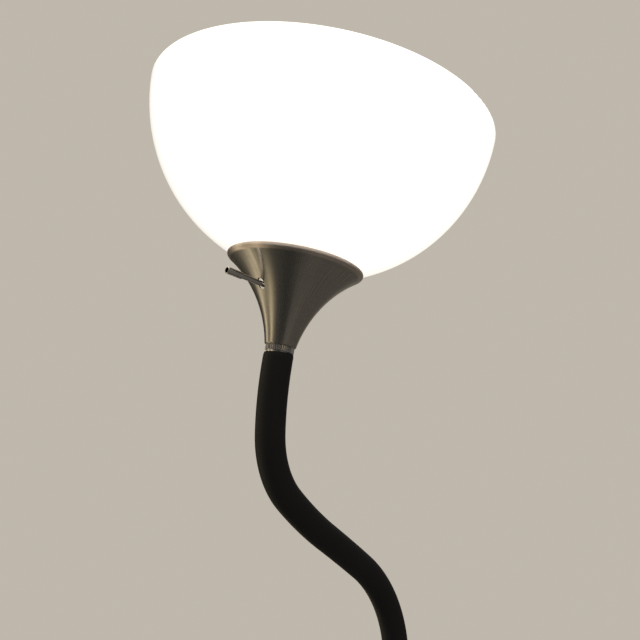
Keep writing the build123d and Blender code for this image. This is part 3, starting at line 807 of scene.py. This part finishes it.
def mirrored_room(tree, settings):
    """Colour that metal mirrors in each direction: the panels all round, and the ceiling above."""
    way = Vector(settings.camera_way).normalized()
    across = Matrix.Rotation(settings.panel_tilt, 3, way) @ way.cross(UP)
    direction = tree.nodes.new("ShaderNodeTexCoord").outputs["Generated"]
    height, ahead, aside = (vector_node(tree, "DOT_PRODUCT", direction, axis)
                            for axis in (UP, way, across))
    facing = math_node(tree, "ARCTAN2", aside, math_node(tree, "SUBTRACT", 1.0, ahead))
    place = rising(tree, facing, -pi / 2, pi / 2)
    fan = math_node(tree, "MULTIPLY", rising(tree, height, *FAN_HEIGHTS),
                    rising(tree, place, *FAN_PLACES, PANEL_FAN))
    turned = math_node(tree, "SUBTRACT", place, fan)
    sides = mixed(tree, rising(tree, height, *LOW_HEIGHTS),
                  ramp(tree, turned, PANELS), ramp(tree, turned, LOW_PANELS))
    return mixed(tree, rising(tree, height, *CEILING_HEIGHTS), sides, CEILING_TONE)


def light_room(settings):
    """A plain backdrop, even light from all round, and tall soft panels for the metal to mirror."""
    world = bpy.data.worlds.new("studio_light")
    bpy.context.scene.world = world
    world.use_nodes = True
    tree = world.node_tree
    tree.nodes.clear()
    rays = tree.nodes.new("ShaderNodeLightPath").outputs
    even = dimmed(EVEN_TINT, settings.room_light)
    light = mixed(tree, rays["Is Glossy Ray"], even, mirrored_room(tree, settings))
    seen = mixed(tree, rays["Is Camera Ray"], light, tuple(settings.backdrop))
    background = add_node(tree, "ShaderNodeBackground", {"Color": seen})
    output = tree.nodes.new("ShaderNodeOutputWorld")
    tree.links.new(background.outputs[0], output.inputs["Surface"])


def hang_soft_lamp(settings):
    """One large soft lamp that neither the camera nor the metal sees."""
    soft = bpy.data.lights.new("soft_lamp", "AREA")
    soft.shape, soft.size, soft.energy = "DISK", settings.lamp_size, settings.lamp_power
    soft.color = LAMP_TINT
    holder = bpy.data.objects.new("soft_lamp", soft)
    holder.location = settings.lamp_place
    aim = Vector(settings.lamp_aim) - holder.location
    holder.rotation_euler = aim.to_track_quat("-Z", "Y").to_euler()
    holder.visible_glossy = False
    holder.visible_camera = False
    bpy.context.scene.collection.objects.link(holder)


def stand_camera(settings):
    """The camera, at the height of the cup."""
    camera = bpy.data.cameras.new("photo_view")
    camera.lens, camera.sensor_width = settings.lens, 36.0
    camera.clip_start = 0.01
    holder = bpy.data.objects.new("photo_view", camera)
    holder.location = settings.camera_place
    holder.rotation_euler = Vector(settings.camera_way).to_track_quat("-Z", "Y").to_euler()
    bpy.context.scene.collection.objects.link(holder)
    bpy.context.scene.camera = holder


class LAMP_OT_studio(bpy.types.Operator):
    """Set up the floor, the backdrop, the soft light and the camera"""
    bl_idname = "lamp.studio"
    bl_label = "Studio"

    def execute(self, context):
        settings = context.scene.lamp.studio
        context.scene.view_settings.view_transform = "Standard"
        lay_floor(settings)
        light_room(settings)
        hang_soft_lamp(settings)
        stand_camera(settings)
        return {"FINISHED"}


# ---------------------------------------------------------------- panel and registration

PIECES = (LAMP_OT_studio, LAMP_OT_metal, LAMP_OT_mouldings, LAMP_OT_glass, LAMP_OT_sleeve)


class LAMP_PT_panel(bpy.types.Panel):
    """Lists the lamp's pieces and their settings"""
    bl_idname = "LAMP_PT_panel"
    bl_label = "Floor Lamp"
    bl_space_type = "VIEW_3D"
    bl_region_type = "UI"
    bl_category = "Floor Lamp"

    def draw(self, context):
        for operator in PIECES:
            self.layout.operator(operator.bl_idname)
        for group in ("neck", "shade", "cups", "studio"):
            box = self.layout.box()
            settings = getattr(context.scene.lamp, group)
            for name in settings.bl_rna.properties.keys():
                if name not in ("name", "rna_type"):
                    box.prop(settings, name)


CLASSES = (NeckSettings, ShadeSettings, CupSettings, StudioSettings, LampSettings, *PIECES,
           LAMP_PT_panel)


def register():
    """Make the settings, the operators and the panel known."""
    for made in CLASSES:
        bpy.utils.register_class(made)
    bpy.types.Scene.lamp = bpy.props.PointerProperty(type=LampSettings)


def unregister():
    """Take them away again."""
    del bpy.types.Scene.lamp
    for made in reversed(CLASSES):
        bpy.utils.unregister_class(made)


def main():
    """Build the studio and dress the lamp."""
    register()
    bpy.ops.lamp.studio()
    bpy.ops.lamp.metal()
    bpy.ops.lamp.mouldings()
    bpy.ops.lamp.glass()
    bpy.ops.lamp.sleeve()


if __name__ == "__main__":
    main()
